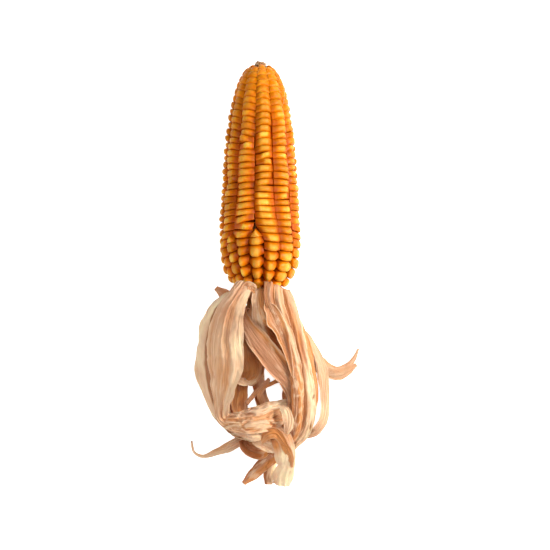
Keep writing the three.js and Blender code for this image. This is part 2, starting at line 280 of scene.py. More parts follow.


# ---------------------------------------------------------------- materials

# Colours are linear red, green and blue. A pair is a leaf's darker and its lighter fibres.
# Painted shade: the dark deep orange down in the seams between kernels.
SEAM_SHADE_ORANGE = (0.44, 0.072, 0.0)
FLANK_ORANGE = (0.68, 0.20, 0.0)
STARCH_YELLOW = (0.89, 0.60, 0.10)
CREAM = ((0.55, 0.27, 0.145), (0.86, 0.58, 0.37))
TAN = ((0.48, 0.155, 0.035), (0.76, 0.335, 0.105))
BROWN = ((0.30, 0.12, 0.055), (0.62, 0.31, 0.17))
BRIGHT_FIBRE = (0.93, 0.74, 0.54)
BLEACHED = (0.97, 0.77, 0.50)
BLOTCH_PINK = (0.56, 0.27, 0.17)
# Painted highlight on fold crests and leaf edges.
HIGHLIGHT_PALE = (0.96, 0.77, 0.55)
# Painted shade: the orange-brown of a leaf's inner side.
INNER_SHADE_ORANGE = (0.52, 0.17, 0.04)
# Painted shade in creases, in hollows and under the leaf above.
SHADE_BROWN = (0.31, 0.09, 0.018)


class Shader:
    """A material with a Principled BSDF, and short calls that add and join its nodes."""

    def __init__(self, name, **settings):
        self.material = bpy.data.materials.new(name)
        self.material.use_nodes = True
        self.tree = self.material.node_tree
        self.surface = self.tree.nodes["Principled BSDF"]
        for key, value in settings.items():
            self.surface.inputs[key.replace("_", " ")].default_value = value

    def node(self, kind, links=None, **settings):
        return add_node(self.tree, kind, links, **settings)

    def feed(self, socket, source):
        self.tree.links.new(source, self.surface.inputs[socket])

    def spots(self, scale, detail):
        """Cloudy noise in space, from 0 to 1, on Object coordinates."""
        where = self.node("ShaderNodeTexCoord").outputs["Object"]
        links = {"Vector": where, "Scale": scale, "Detail": detail}
        return self.node("ShaderNodeTexNoise", links).outputs["Fac"]

    def bump(self, height, strength, distance):
        """Relief from a height, its distance in metres."""
        links = {"Height": height, "Strength": strength, "Distance": distance}
        self.feed("Normal", self.node("ShaderNodeBump", links).outputs[0])


def add_node(tree, kind, links=None, **settings):
    """A node with its settings; links maps its inputs to a socket or a plain value."""
    node = tree.nodes.new(kind)
    for key, value in settings.items():
        setattr(node, key, value)
    for key, value in (links or {}).items():
        if isinstance(value, bpy.types.NodeSocket):
            tree.links.new(value, node.inputs[key])
        else:
            node.inputs[key].default_value = value
    return node


def maths(tree, operation, *values):
    """The result of a Math node."""
    return add_node(tree, "ShaderNodeMath", dict(enumerate(values)), operation=operation).outputs[0]


def stretch(tree, value, low, high, to_low=0.0, to_high=1.0):
    """A value stretched from one range to another, held at its ends."""
    links = {"Value": value, "From Min": low, "From Max": high, "To Min": to_low, "To Max": to_high}
    return add_node(tree, "ShaderNodeMapRange", links).outputs["Result"]


def mixed(tree, factor, first, second, blend="MIX"):
    """Two colours mixed by a factor."""
    node = add_node(tree, "ShaderNodeMix", {"Factor": factor}, data_type="RGBA", blend_type=blend)
    for index, value in ((6, first), (7, second)):
        if isinstance(value, bpy.types.NodeSocket):
            tree.links.new(value, node.inputs[index])
        else:
            node.inputs[index].default_value = (*value, 1)
    return node.outputs[2]


def attribute(tree, name):
    """A float attribute of the piece."""
    return add_node(tree, "ShaderNodeAttribute", attribute_name=name).outputs["Fac"]


def fibre_group():
    """Node group: fine fibres along V of the UV map. Strand is from 0 to 1, Height is for a bump."""
    tree = bpy.data.node_groups.new("fibres", "ShaderNodeTree")
    for name, default in (("Count", 40.0), ("Waviness", 0.02)):
        socket = tree.interface.new_socket(name, in_out="INPUT", socket_type="NodeSocketFloat")
        socket.default_value = default
    for name in ("Strand", "Height"):
        tree.interface.new_socket(name, in_out="OUTPUT", socket_type="NodeSocketFloat")
    given = tree.nodes.new("NodeGroupInput")
    given_out = tree.nodes.new("NodeGroupOutput")
    uv = add_node(tree, "ShaderNodeTexCoord").outputs["UV"]
    parts = add_node(tree, "ShaderNodeSeparateXYZ", {0: uv})
    sway = add_node(tree, "ShaderNodeTexNoise", {"Vector": uv, "Scale": 6.0, "Detail": 2.0}).outputs["Fac"]
    shift = maths(tree, "MULTIPLY", maths(tree, "SUBTRACT", sway, 0.5), given.outputs["Waviness"])
    across = maths(tree, "MULTIPLY", maths(tree, "ADD", parts.outputs["X"], shift), given.outputs["Count"])
    along = maths(tree, "MULTIPLY", parts.outputs["Y"], 1.5)
    spot = add_node(tree, "ShaderNodeCombineXYZ", {"X": across, "Y": along})
    links = {"Vector": spot.outputs[0], "Scale": 1.0, "Detail": 3.0, "Roughness": 0.65}
    strand = add_node(tree, "ShaderNodeTexNoise", links).outputs["Fac"]
    tree.links.new(stretch(tree, strand, 0.28, 0.72), given_out.inputs["Strand"])
    tree.links.new(strand, given_out.inputs["Height"])
    return tree


def fibres(shader, count, waviness=0.02):
    """The fibres group placed in a material: its strand and height."""
    node = shader.node("ShaderNodeGroup", node_tree=FIBRES)
    node.inputs["Count"].default_value = count
    node.inputs["Waviness"].default_value = waviness
    return node.outputs["Strand"], node.outputs["Height"]


FIBRES = fibre_group()


def kernel_material():
    """Hard glossy grain: painted shade of deep orange down in the seams, orange on the flanks, yellow
    starch in the crown.

    The attribute crown, made cloudy by noise, picks the colour; chance makes each kernel lighter or
    darker and its starch stronger or weaker.
    """
    shader = Shader("kernel", Roughness=0.4, Subsurface_Weight=0.5, Subsurface_Scale=0.0025,
                    Coat_Weight=0.02, Coat_Roughness=0.25, Specular_IOR_Level=0.13)
    shader.surface.inputs["Subsurface Radius"].default_value = (1.0, 0.5, 0.05)
    tree = shader.tree
    crown, chance = attribute(tree, "crown"), attribute(tree, "chance")
    cloudy = maths(tree, "MULTIPLY", maths(tree, "SUBTRACT", shader.spots(260.0, 3.0), 0.5), 0.5)
    level = maths(tree, "ADD", crown, cloudy)
    # Painted shade: the deeper a point lies below its kernel's crown, the more it takes the dark seam
    # orange.
    flank = mixed(tree, stretch(tree, level, 0.0, 0.6), SEAM_SHADE_ORANGE, FLANK_ORANGE)
    starchy = stretch(tree, chance, 0.0, 1.0, 0.4, 1.0)
    starch = maths(tree, "MULTIPLY", stretch(tree, level, 0.6, 1.1), starchy)
    grain = mixed(tree, starch, flank, STARCH_YELLOW)
    shade = stretch(tree, chance, 0.0, 1.0, 0.8, 1.06)
    grey = shader.node("ShaderNodeCombineColor", {0: shade, 1: shade, 2: shade}).outputs[0]
    shader.feed("Base Color", mixed(tree, 1.0, grain, grey, "MULTIPLY"))
    fine = shader.spots(900.0, 4.0)
    shader.feed("Roughness", stretch(tree, fine, 0.3, 0.7, 0.32, 0.5))
    shader.bump(fine, 0.12, 0.0003)
    return shader.material


def husk_material():
    """Dry husk leaf: fibres in two sizes, pinkish blotches, and an inner side painted orange-brown as
    shade.

    The attribute tone picks the leaf's colour: -1 is bleached, 0 cream, 1 tan and 2 brown. A painted
    highlight lies on folds and edges, and painted shade in creases, in hollows and under the leaf above.
    """
    shader = Shader("husk", Roughness=0.6, Subsurface_Weight=0.2, Subsurface_Scale=0.0012,
                    Specular_IOR_Level=0.25, Sheen_Weight=0.03, Sheen_Roughness=0.5)
    shader.surface.inputs["Subsurface Radius"].default_value = (1.0, 0.6, 0.3)
    tree = shader.tree
    strand, height = fibres(shader, 34.0, 0.03)
    fine, fine_height = fibres(shader, 110.0, 0.02)
    blotch = shader.spots(55.0, 4.0)
    tone, inner, painted_shade, painted_highlight = (attribute(tree, key) for key in ("tone", "inner", "painted_shade", "painted_highlight"))
    cream, tan, brown = (mixed(tree, strand, *pair) for pair in (CREAM, TAN, BROWN))
    cream = mixed(tree, maths(tree, "MULTIPLY", stretch(tree, fine, 0.5, 1.0), 0.35), cream, BRIGHT_FIBRE)
    leaf = mixed(tree, stretch(tree, tone, 0.0, 1.0), cream, tan)
    leaf = mixed(tree, stretch(tree, tone, 0.0, -1.0), leaf, BLEACHED)
    leaf = mixed(tree, stretch(tree, tone, 1.0, 2.0), leaf, brown)
    leaf = mixed(tree, stretch(tree, blotch, 0.48, 0.72, 0.0, 0.55), leaf, BLOTCH_PINK)
    # Painted highlight on fold crests and edges.
    leaf = mixed(tree, maths(tree, "MULTIPLY", painted_highlight, 0.45), leaf, HIGHLIGHT_PALE)
    # The inner side painted orange-brown as shade.
    leaf = mixed(tree, maths(tree, "MULTIPLY", inner, 0.6), leaf, INNER_SHADE_ORANGE)
    # Painted shade in creases, in hollows and under the leaf above.
    dark = maths(tree, "MULTIPLY", stretch(tree, painted_shade, 0.0, 1.0), 0.85)
    shader.feed("Base Color", mixed(tree, dark, leaf, SHADE_BROWN))
    shader.feed("Roughness", stretch(tree, strand, 0.0, 1.0, 0.72, 0.5))
    relief = maths(tree, "ADD", height, maths(tree, "MULTIPLY", fine_height, 0.5))
    shader.bump(relief, 0.55, 0.0008)
    return shader.material


def straw_material(name, light, dark, count):
    """Dry stalk or chaff: fibres between two colours, with darker blotches, matt."""
    shader = Shader(name, Roughness=0.8, Specular_IOR_Level=0.25)
    strand, height = fibres(shader, count, 0.04)
    blotch = shader.spots(180.0, 4.0)
    colour = mixed(shader.tree, strand, dark, light)
    shade = stretch(shader.tree, blotch, 0.35, 0.7, 0.0, 0.5)
    shader.feed("Base Color", mixed(shader.tree, shade, colour, tuple(0.6 * c for c in dark)))
    shader.feed("Roughness", stretch(shader.tree, blotch, 0.3, 0.7, 0.7, 0.92))
    shader.bump(height, 0.6, 0.0008)
    return shader.material


def floor_material():
    """Plain white paper sweep, with the faintest mottle; it glows a little, so that it looks white."""
    shader = Shader("paper_sweep", Roughness=0.9, Specular_IOR_Level=0.1)
    mottle = shader.spots(3.0, 2.0)
    shader.feed("Base Color", mixed(shader.tree, mottle, (0.9, 0.9, 0.9), (0.94, 0.94, 0.94)))
    shader.surface.inputs["Emission Color"].default_value = (1, 1, 1, 1)
    seen = shader.node("ShaderNodeLightPath").outputs["Is Camera Ray"]
    shader.feed("Emission Strength", stretch(shader.tree, seen, 0.0, 1.0, 0.25, 0.9))
    return shader.material


KERNEL = kernel_material()
HUSK = husk_material()
STALK = straw_material("stalk", (0.68, 0.38, 0.16), (0.42, 0.18, 0.055), 30.0)
CHAFF = straw_material("chaff", (0.86, 0.66, 0.44), (0.55, 0.30, 0.14), 12.0)
COB = straw_material("cob", (0.50, 0.24, 0.09), (0.26, 0.08, 0.02), 20.0)


# ---------------------------------------------------------------- kernels

KERNEL_ACROSS = np.array([-1, -0.985, -0.74, -0.42, 0.42, 0.74, 0.985, 1])  # sections across the row
KERNEL_ROUND = np.radians([90, 54, 18, 162, 126])  # points of a section's crown, along and up
KERNEL_SIDES = np.array([(1, -0.22), (0.96, -1), (-0.96, -1), (-1, -0.22)])  # and of the sides below it
CREASE_DEPTH = 2.3  # how deep the crease between two kernels of a row is, at the crown
GROOVE_DEPTH = 3.4  # how far a kernel's flanks drop below its crown, beside the next row
CROWN_POWER = 0.85  # below 1 a section's crown is squarer than an ellipse
CROWN_BULGE = 0.12  # share of the drop to the groove that is spread over the whole width
CROWN_EDGE = 0.43  # where the flank starts, from 0 at the crown's middle to 1 at the seam
FLANK_REACH = 0.5  # and how far, on the same scale, it takes to drop
FUSED_EDGE = 0.55  # where the kernels of a row start to melt together, on that scale
FUSED_REACH = 0.3  # and how far they take
ROW_GAP = 0.02
CALM_ROWS = (4, 5)  # rows whose big lowest kernels merge softly
TIP_SOFTENS = 45  # length before the tip over which the relief becomes shallower
PILL = 0.5  # how much shorter along the row a kernel is at the ends of its crown
CROWN_FADE = 3.1  # depth below its own crown at which a kernel's crown attribute reaches 0
LEAN = 5.0  # how many degrees kernels lean along the row, in smooth waves
BALL_BELOW = 34  # station below which kernels are rounder towards the base
BALL_REACH = 25  # and the length over which they become so

# For a row, where its crowns sit across it (0 is its middle) and how much slimmer they are.
CROWNS = {
    1: (-0.12, 0.06), 2: (-0.2, 0.08), 3: (-0.12, 0.04), 4: (0.06, 0.14), 5: (0.1, 0.14), 6: (0, 0.1),
    8: (0.1, 0.08), 10: (-0.1, 0.08),
}

# Odd kernels: for a row, the station of each, its shift and its width as shares of the row's width,
# its lean in degrees and how far it stands out.
ODD_KERNELS = {
    1: [(60, 0.12, 0.65, 5, 0.3), (48, -0.12, 0.7, -5, 0.4)],
    2: [(84, -0.12, 0.7, -5, 0.5), (80, 0.14, 0.7, 5, 0.4), (36, -0.1, 0.75, 6, 0.5),
        (31.5, 0.12, 0.6, -5, 0.3)],
    3: [(76.5, 0.1, 0.75, 6, 0.6), (72, 0.12, 0.7, -6, 0.3), (61, -0.08, 0.85, 3, 0.2)],
    4: [(97, 0.08, 0.8, -4, 0.3), (52, -0.1, 0.8, 4, 0.3)],
    5: [(88, 0.08, 0.7, 5, 0.3), (33, 0.1, 0.75, -6, 0.4)],
    8: [(70, 0.12, 0.7, -6, 0.5), (30, -0.12, 0.7, 6, 0.4)],
    10: [(95, 0.1, 0.7, 6, 0.4), (42, -0.1, 0.7, -6, 0.4)],
}


def kernel_joints(to_run, stagger, spacing):
    """Lengths along the outline where the kernels of a row meet: one pitch apart, longer near the base."""
    joints = [0]
    while joints[-1] < to_run:
        reach = smooth(1 - outline_at(joints[-1])[0] / BASE_PITCH_REACH)
        pitch = (KERNEL_PITCH + BASE_PITCH_EXTRA * reach) * spacing
        run = joints[-1] + (pitch * 1.5 if len(joints) == 1 and stagger else pitch)
        joints.append(min(run, to_run))
    if joints[-1] - joints[-2] < KERNEL_PITCH / 2:
        joints.pop(-2)
    return np.array(joints, float)


def kernel_section():
    """Places round a section, along the row and up: half a superellipse on sides that reach the core."""
    crown = signed_power(np.round([np.cos(KERNEL_ROUND), np.sin(KERNEL_ROUND)], 9), CROWN_POWER)
    return np.concatenate([crown[:, :3], KERNEL_SIDES.T, crown[:, 3:]], 1)[:, None, None, :]


def odd_kernels(number, station):
    """Shift, share of the width, lean and height of each kernel: 0, 1, 0 and 0 but for the odd ones."""
    values = np.zeros((4, *station.shape))
    values[1] = 1
    for at, *own in ODD_KERNELS.get(number, []):
        values[:, np.argmin(np.abs(station.ravel() - at)), 0, 0] = own
    return values


def kernel_row(number, edges, to_station, stagger, spacing=1, pointed=False):
    """One row of separate kernels, pressed together; edges gives the row's two seams at a station.

    A kernel is a loft of eight sections across the row, each in the plane of the row's length and depth.
    With s from 0 at the crown's middle to 1 at the seam, the sections drop to the groove beside the next
    row by D (0.12 s^2 + 0.88 smoothstep((s - 0.43 + slim) / 0.5)), where slim is the row's own, and a
    little sooner near the base, where kernels are rounder. The crease to the next kernel is deep at the
    crown and dies away on the flanks, where kernels melt together. Towards the tip all relief is
    shallower. Every kernel has its own size, lean, place and height, drawn from the row's own random
    numbers. The last kernel of a pointed row narrows to a tip.
    """
    rng = np.random.default_rng(700 + number)
    to_run = np.interp(to_station, OUTLINE_STATION, OUTLINE_RUN)
    joints = kernel_joints(to_run, stagger, spacing)
    joints[1:-1] += rng.uniform(-0.3, 0.3, len(joints) - 2)
    count = len(joints) - 1
    index = np.arange(count)[:, None, None]
    middle = ((joints[:-1] + joints[1:]) / 2)[:, None, None]
    half = ((joints[1:] - joints[:-1]) / 2)[:, None, None]
    across = KERNEL_ACROSS[None, :, None]
    along, up = kernel_section()

    def chance(low, high):
        return rng.uniform(low, high, (count, 1, 1))

    # How deep each section lies under the crown, and how far it reaches along the row.
    station, radius = outline_at(middle)
    low, high = edges(station)
    width = radius * np.radians(high - low) / 2
    blunt = 0.12 + 0.88 * smooth((TIP_END - station) / TIP_SOFTENS)
    ball = smooth((BALL_BELOW - station) / BALL_REACH)
    calm = ball * (number in CALM_ROWS)
    side, slim = CROWNS.get(number, (0, 0))
    shift, share, tilt, proud = odd_kernels(number, station)
    size = np.abs(across - side) / (1 - side * np.sign(across - side))
    drop = np.minimum(GROOVE_DEPTH, width * 0.85) * chance(0.9, 1.1) * blunt * (1 - slim)
    drop = drop * (1 - 0.5 * calm)
    flank = smooth((size - CROWN_EDGE + slim + 0.13 * ball) / FLANK_REACH)
    rounding = CROWN_BULGE * size**2 + (1 - CROWN_BULGE) * flank
    fused = smooth((size - FUSED_EDGE + slim) / FUSED_REACH) * (1 - 0.6 * ball)
    crease = np.minimum(CREASE_DEPTH * (1 + 0.5 * ball), width * 0.55) * (1 - 0.95 * fused)
    crease = crease * chance(0.85, 1.15) * blunt * (1 - 0.55 * calm)
    waist = 1 - (PILL + 0.35 * ball) * size**4 * (1 - fused)
    taper = np.ones_like(along + half)
    if pointed:
        last = index == count - 1
        taper = np.where(last & (along > 0), 1 - 0.8 * along, 1)
        half = np.where(last, half * 1.25, half)

    # Where each point is along the outline, round the ear and in depth.
    lean = LEAN * noise(index / 5, number, 31) + chance(-2, 2) + tilt
    lean = lean * np.where(up < 0, 0.6, 1)
    run = middle + along * half * waist * chance(1.0, 1.05) + across * width * np.tan(np.radians(lean))
    run = np.clip(run, 0, OUTLINE_RUN[-1])
    station, radius = outline_at(run)
    low, high = edges(station)
    gap = np.degrees(ROW_GAP / np.maximum(radius, 2))
    sway = (0.06 * noise(index / 3, number, 57) + chance(-0.05, 0.05) + shift) * (high - low)
    reach = ((high - low) / 2 - gap) * taper * (1 - (1 - share) * np.where(size < 0.95, 1, 0.3))
    degrees = (low + high) / 2 + sway * (1 - size**3) + across * reach
    foot = np.maximum(radius * (1 - CORE_RADIUS_SHARE), 0.5)
    raised = (chance(-0.4, 0.4) + 0.3 * noise(index / 4, number, 83) + proud) * blunt
    own_depth = drop * rounding + np.where(up > 0, crease * (1 - up), crease)
    depth = np.minimum(own_depth - raised, foot)
    depth = np.where(up > 0, depth, depth - up * (foot - depth))
    inward = (core_station(station) - station) * (depth / foot)
    points = ear_points(degrees, radius - depth, station + inward)

    # The crown attribute falls to 0 down in the seams, where the kernel material paints shade.
    crown = np.clip(1 - np.where(up > 0, own_depth, own_depth - up * foot) / CROWN_FADE, 0, 1)
    crown = crown * (0.6 + 0.4 * blunt) * (1 + 0.2 * ball)
    own = chance(0, 1) * np.ones_like(crown)
    faces = repeated_faces(kernel_faces(len(KERNEL_ACROSS), along.size), crown[0].size, count)
    return new_piece(f"kernels_{number:02d}", place(points), faces, KERNEL, [f"kernel_row_{number:02d}"],
                     "kernel", {"crown": crown, "chance": own}, subdivide=1)


def kernel_faces(sections, sides):
    """Faces of one kernel: the skin between its sections and a cap at each end."""
    skin = [face[::-1] for face in grid_faces(sections, sides, wrap=True).tolist()]
    caps = [list(range(sides)), list(range(sections * sides - 1, (sections - 1) * sides - 1, -1))]
    return skin + caps


def make_kernels():
    """Twelve long rows between neighbouring seams, then a short row in each seam that opens."""
    for i in range(len(SEAMS)):
        def edges(station, i=i):
            return seam_angle(i, 1, station), seam_angle(i + 1, -1, station)

        kernel_row(i + 1, edges, LONG_ROW_END[i % 2], i % 4 > 1)

    openings = [i for i, (_, _, opening, _) in enumerate(SEAMS) if opening]
    for number, i in enumerate(openings, len(SEAMS) + 1):
        def edges(station, i=i):
            return seam_angle(i, -1, station), seam_angle(i, 1, station)

        kernel_row(number, edges, SEAMS[i][3], i % 2 == 0, SHORT_ROW_PITCH, pointed=True)


# ---------------------------------------------------------------- core, tip and shank

def make_core():
    """The core: its profile turned round the ear's axis, roughened by noise, with a ragged dry tip."""
    columns = 72
    station, radius = core_profile(90)
    turn = np.arange(columns) * 360 / columns
    angle = np.radians(turn)[None, :]
    crumbs = rough_noise(station[:, None] / 2.5, np.cos(angle) * 5 + np.sin(angle) * 7 + 20, 5)
    end = smooth((station - 120) / 10)[:, None]
    swell = np.where(radius[:, None] > 0, (0.45 + 0.1 * end) * crumbs, 0)
    crumbled = station[:, None] + end * crumbs * 0.5
    points = ear_points(turn[None, :], np.maximum(radius[:, None] + swell, 0), crumbled)
    faces = close_poles(grid_faces(len(station), columns, wrap=True)[:, ::-1], len(station), columns)
    return new_piece("core", place(points), faces, COB, ["cob_core"], "core")


def close_poles(faces, rows, columns):
    """Faces of a turned grid whose first and last row are one point each: all their corners share it."""
    faces = np.asarray(faces).copy()
    faces[faces < columns] = 0
    last = (rows - 1) * columns
    faces[faces >= last] = last
    return [list(dict.fromkeys(face)) for face in faces.tolist()]


def make_tip_chaff():
    """Papery scales round the bare tip: each a small curved blade that leans out, rooted at the tip."""
    rng = np.random.default_rng(41)
    count, rows, columns = 44, 5, 4
    t = np.linspace(0, 1, rows)[None, :, None]
    v = np.linspace(-1, 1, columns)[None, None, :]
    turn = rng.uniform(0, 360, (count, 1, 1))
    length = rng.uniform(0.9, 2.3, (count, 1, 1))
    lean = rng.uniform(0.5, 1.35, (count, 1, 1))
    width = rng.uniform(0.5, 1.1, (count, 1, 1))
    root = rng.uniform(0.8, 4.2, (count, 1, 1))
    radius = root + length * np.sin(lean) * t - 0.5 * v**2 * width * t + 0.3
    rise = length * np.cos(lean) * t * rng.uniform(0.7, 1, (count, 1, 1))
    station = CORE_TIP_END - 2.0 - 0.35 * root + rise
    sideways = v * width * (1 - 0.75 * t**2) / np.maximum(radius, 0.6)
    blade = ear_points(turn + np.degrees(sideways), radius, station)
    inner = ear_points(turn + np.degrees(sideways), radius - 0.12, station)
    return sheet_pieces("tip_chaff", blade, inner, CHAFF, "core")


def make_silk():
    """Dry silk: thin tapering threads, a curled tuft on the tip and a few strays lying down the seams."""
    rng = np.random.default_rng(12)
    count, strays, rows, sides = 30, 4, 14, 5
    seams = [-58, -41, 27, 55, 84, 120]
    t = np.linspace(0, 1, rows)[None, :]
    stray = (np.arange(count) >= count - strays)[:, None]
    turn = rng.uniform(0, 360, (count, 1)) * ~stray + rng.choice(seams, (count, 1)) * stray
    length = np.where(stray, rng.uniform(8, 18, (count, 1)), rng.uniform(1.5, 3.5, (count, 1)))
    start = np.where(stray, rng.uniform(70, 112, (count, 1)), CORE_TIP_END - 2)
    curl = rng.uniform(-1, 1, (count, 1)) * np.where(stray, 6, 110)
    out = np.where(stray, np.interp(start, OUTLINE_STATION, OUTLINE_RADIUS) - 1.2 + 2.2 * t,
                   1.2 + 2.2 * np.sin(t * 2.4))
    station = start + np.where(stray, length * t, length * 0.55 * np.sin(t * 2.6))
    line = ear_points(turn + curl * t * t, out, station)
    return threads("silk", line, 0.13 * (1 - 0.6 * t) + 0 * turn, sides, CHAFF, "core")


def threads(name, line, radius, sides, material, slot):
    """Closed tubes along many lines at once: a ring of points round each point of each line."""
    count, rows = line.shape[:2]
    along = unit(np.gradient(line, axis=1))
    side = unit(np.cross(along, np.array([0.31, 0.77, 0.56])))
    other = np.cross(along, side)
    angle = np.arange(sides) * 2 * math.pi / sides
    ring = np.cos(angle)[:, None] * side[:, :, None] + np.sin(angle)[:, None] * other[:, :, None]
    points = line[:, :, None] + ring * radius[:, :, None, None]
    one = grid_faces(rows, sides, wrap=True).tolist()
    one += [list(range(sides))[::-1], list(range((rows - 1) * sides, rows * sides))]
    return new_piece(name, place(points), repeated_faces(one, rows * sides, count), material, slot=slot)


def sheet_pieces(name, front, back, material, slot):
    """Many thin closed blades in one piece, each from a front grid, a back grid and a rim."""
    count, rows, columns = front.shape[:3]
    faces = repeated_faces(sheet_faces(rows, columns), rows * columns * 2, count)
    u, v = np.meshgrid(np.linspace(0, 1, columns), np.linspace(0, 1, rows))
    uv = np.broadcast_to(np.stack([u, v], -1), (count, 2, rows, columns, 2))
    return new_piece(name, place(np.stack([front, back], 1)), faces, material, slot=slot, uv=uv)


def sheet_faces(rows, columns):
    """Faces of a closed sheet: its front grid, its back grid turned round, and a rim between them."""
    front = grid_faces(rows, columns)
    rim = np.concatenate([np.arange(columns), columns * np.arange(1, rows) + columns - 1,
                          (rows - 1) * columns + np.arange(columns - 2, -1, -1),
                          columns * np.arange(rows - 2, 0, -1)])
    after = np.roll(rim, -1)
    size = rows * columns
    edge = np.stack([after, rim, rim + size, after + size], -1)
    return np.concatenate([front, front[:, ::-1] + size, edge]).tolist()


def make_shank():
    """The shank: a turned stub with lengthwise ribs, a swollen joint in the middle and a rough cut end."""
    rows, columns, ribs = 61, 96, 28
    top = core_station(BASE_END) - CORE_GAP
    profile = np.array([  # station, and share of the shank's radius
        (SHANK_END + 0.6, 0), (SHANK_END, 0.5), (SHANK_END + 0.3, 0.84), (SHANK_END + 1.2, 0.9),
        (-17, 0.97), (-13, 0.93), (-11.6, 1.02), (-10, 0.95), (-6, 0.97), (top, 0.58), (top, 0),
    ])
    point = np.arange(len(profile))
    step = np.linspace(0, point[-1], rows)
    station = np.interp(step, point, profile[:, 0])[:, None]
    radius = np.interp(step, point, profile[:, 1] * SHANK_RADIUS)[:, None]
    turn = np.arange(columns) * 360 / columns
    angle = np.radians(turn)[None, :]
    ribbed = 0.16 * np.cos(ribs * angle + 0.8 * noise(station / 5, 0, 3))
    ribbed = ribbed + 0.2 * rough_noise(angle * 3, station / 4, 8)
    points = ear_points(turn[None, :], radius + ribbed * smooth(radius / 4), station)
    uv = np.stack(np.broadcast_arrays(turn[None, :] / 360, station / 40), -1)
    faces = close_poles(grid_faces(rows, columns, wrap=True)[:, ::-1], rows, columns)
    return new_piece("stalk_stub", place(points), faces, STALK, ["shank"], "shank", uv=uv)


# ---------------------------------------------------------------- husk leaves

LEAF_COLUMNS = 81
ROWS_PER_POINT = 14
LEAF_THICKNESS = 0.3


def route_points(route, t):
    """Points of the centripetal Catmull-Rom curve through a route, t from 0 to 1 over all its stretches.

    Each stretch is a cubic from point 1 to point 2. Its end slopes come from the chords to the
    neighbouring points, weighted by the square roots of the chord lengths.
    """
    p = np.vstack([2 * route[0] - route[1], route, 2 * route[-1] - route[-2]])
    last = len(route) - 1
    step = np.clip(t, 0, 1) * last
    i = np.minimum(step.astype(int), last - 1)
    w = (step - i)[:, None]
    p0, p1, p2, p3 = p[i], p[i + 1], p[i + 2], p[i + 3]
    chords = (p1 - p0, p2 - p1, p3 - p2)
    d0, d1, d2 = (np.sqrt(np.linalg.norm(chord, axis=1))[:, None] for chord in chords)
    m1 = ((p1 - p0) / d0 - (p2 - p0) / (d0 + d1) + (p2 - p1) / d1) * d1
    m2 = ((p2 - p1) / d1 - (p3 - p1) / (d1 + d2) + (p3 - p2) / d2) * d1
    return p1 + m1 * w + (3 * (p2 - p1) - 2 * m1 - m2) * w**2 + (2 * (p1 - p2) + m1 + m2) * w**3


def route_values(values, t):
    """Values given at a route's points, blended between them by smoothstep."""
    step = np.clip(t, 0, 1) * (len(values) - 1)
    i = np.minimum(step.astype(int), len(values) - 2)
    return values[i] + (values[i + 1] - values[i]) * smooth(step - i)


def across_values(given, v):
    """A plain value, or pairs (v, value) across the leaf blended by straight lines."""
    return np.interp(v, *zip(*given)) if isinstance(given, tuple) else given + 0 * v


def leaf_frame(route, fold, t):
    """A leaf's middle line at each t, and its directions across and out.

    Across is level and square to the line, then rolled about it by the route's degrees. Before the fold
    it is the fold's own, so that the leaf doesn't twist where it turns over.
    """
    line = route[:, :3]
    small = 1e-4

    def heading(at):
        return unit(route_points(line, np.minimum(at + small, 1)) - route_points(line, at - small))

    along = heading(t)
    across = unit(np.cross([0, 0, 1], heading(np.maximum(t, fold / (len(route) - 1)))))
    across = unit(across - along * np.sum(across * along, 1, keepdims=True))
    roll = np.radians(route_values(route[:, 4], t))[:, None]
    across = across * np.cos(roll) + np.cross(along, across) * np.sin(roll)
    return route_points(line, t), across, -unit(np.cross(across, along))


def pleat_wave(v, run, pleats, seed):
    """Pleats that run along a leaf, from -1 to 1: broad, sharp and thin ridges of v that wander."""
    drift = (v + 1.2) * pleats + 0.9 * noise(run / 22, 3, seed + 5)
    broad = ridged(drift, run / 55, seed + 2)
    sharp = ridged(drift * 2.7 + 5, run / 35, seed + 3)
    thin = ridged(drift * 6.1 + 9, run / 24, seed + 4)
    return 0.68 * broad + 0.22 * sharp + 0.1 * thin


def crease_wave(across, run, seed):
    """Creases of a tied leaf: ridges across it, along it and fine ones, all bent by noise."""
    bend = noise(run / 8, across / 6, seed + 21)
    over = ridged(run / 5 + 1.2 * bend, across / 8 + 9, seed + 22)
    down = ridged(run / 11, across / 3.4 + 1.4 * bend, seed + 24)
    fine = ridged(run / 2.6 + bend, across / 3.1 + 4, seed + 25)
    return 0.6 * over + 0.45 * down + 0.25 * fine


